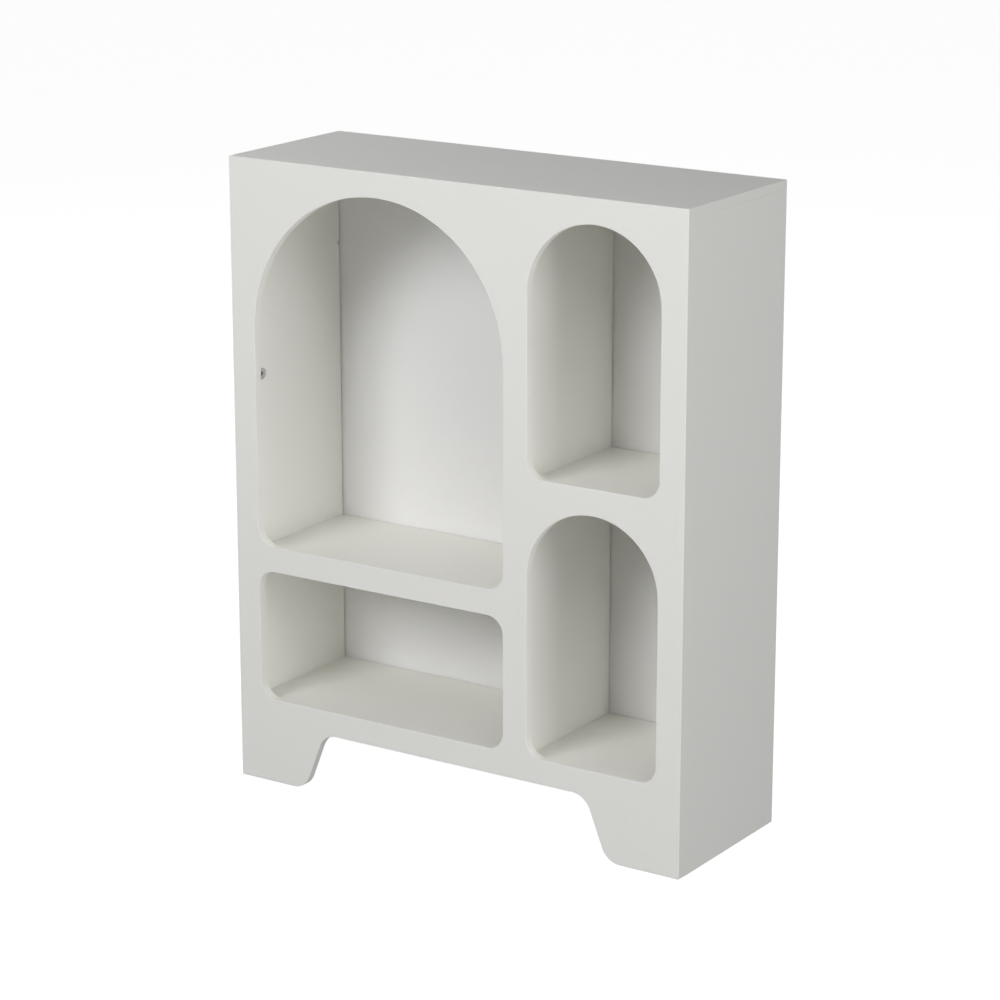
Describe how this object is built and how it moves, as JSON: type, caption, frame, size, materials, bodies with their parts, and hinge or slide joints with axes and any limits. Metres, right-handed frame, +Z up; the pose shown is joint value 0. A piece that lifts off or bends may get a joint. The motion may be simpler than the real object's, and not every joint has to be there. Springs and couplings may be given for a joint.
{
  "type": "bookcase",
  "caption": "Free-standing open bookcase: a flat front panel with arched openings into compartments, short leaning front legs, and a thin recessed back.",
  "frame": {"origin": "on the floor, under the centre of the bookcase's bounding box", "axes": "+Z up, +Y towards the wall behind it, so the arched front faces -Y, and +X to the right as seen from the front"},
  "size_m": [0.688, 0.241, 0.85],
  "materials": {
    "white_board": "satin white lacquer on MDF board",
    "back_sheet": "satin white foil on hardboard",
    "zinc_cam": "die-cast zinc, dull",
    "steel_bolt": "zinc-plated steel, satin",
    "steel_screw": "zinc-plated steel, satin",
    "beech_dowel": "raw beech"
  },
  "bodies": {
    "root": {"back_panel": "back_sheet", "back_screw_bottom_left": "steel_screw", "back_screw_bottom_right": "steel_screw", "back_screw_divider": "steel_screw", "back_screw_left_shelf": "steel_screw", "back_screw_right_shelf": "steel_screw", "bottom_panel": "white_board", "cam_bolt_left_bottom_front": "steel_bolt", "cam_bolt_left_bottom_rear": "steel_bolt", "cam_bolt_left_front_high": "steel_bolt", "cam_bolt_left_front_low": "steel_bolt", "cam_bolt_left_front_middle": "steel_bolt", "cam_bolt_left_top_front": "steel_bolt", "cam_bolt_left_top_rear": "steel_bolt", "cam_bolt_right_bottom_front": "steel_bolt", "cam_bolt_right_bottom_rear": "steel_bolt", "cam_bolt_right_front_high": "steel_bolt", "cam_bolt_right_front_low": "steel_bolt", "cam_bolt_right_front_middle": "steel_bolt", "cam_bolt_right_top_front": "steel_bolt", "cam_bolt_right_top_rear": "steel_bolt", "cam_lock_left_bottom_front": "zinc_cam", "cam_lock_left_bottom_rear": "zinc_cam", "cam_lock_left_front_high": "zinc_cam", "cam_lock_left_front_low": "zinc_cam", "cam_lock_left_front_middle": "zinc_cam", "cam_lock_left_top_front": "zinc_cam", "cam_lock_left_top_rear": "zinc_cam", "cam_lock_right_bottom_front": "zinc_cam", "cam_lock_right_bottom_rear": "zinc_cam", "cam_lock_right_front_high": "zinc_cam", "cam_lock_right_front_low": "zinc_cam", "cam_lock_right_front_middle": "zinc_cam", "cam_lock_right_top_front": "zinc_cam", "cam_lock_right_top_rear": "zinc_cam", "centre_divider": "white_board", "dowel_divider_bottom_front": "beech_dowel", "dowel_divider_bottom_rear": "beech_dowel", "dowel_divider_top_front": "beech_dowel", "dowel_divider_top_rear": "beech_dowel", "dowel_front_bottom_left": "beech_dowel", "dowel_front_bottom_right": "beech_dowel", "dowel_front_divider_high": "beech_dowel", "dowel_front_divider_low": "beech_dowel", "dowel_front_top_left": "beech_dowel", "dowel_front_top_right": "beech_dowel", "dowel_left_shelf_divider_front": "beech_dowel", "dowel_left_shelf_divider_rear": "beech_dowel", "dowel_left_shelf_side_front": "beech_dowel", "dowel_left_shelf_side_rear": "beech_dowel", "dowel_right_shelf_divider_front": "beech_dowel", "dowel_right_shelf_divider_rear": "beech_dowel", "dowel_right_shelf_side_front": "beech_dowel", "dowel_right_shelf_side_rear": "beech_dowel", "front_panel": "white_board", "left_shelf": "white_board", "left_side_panel": "white_board", "right_shelf": "white_board", "right_side_panel": "white_board", "top_panel": "white_board"}
  },
  "joints": []
}
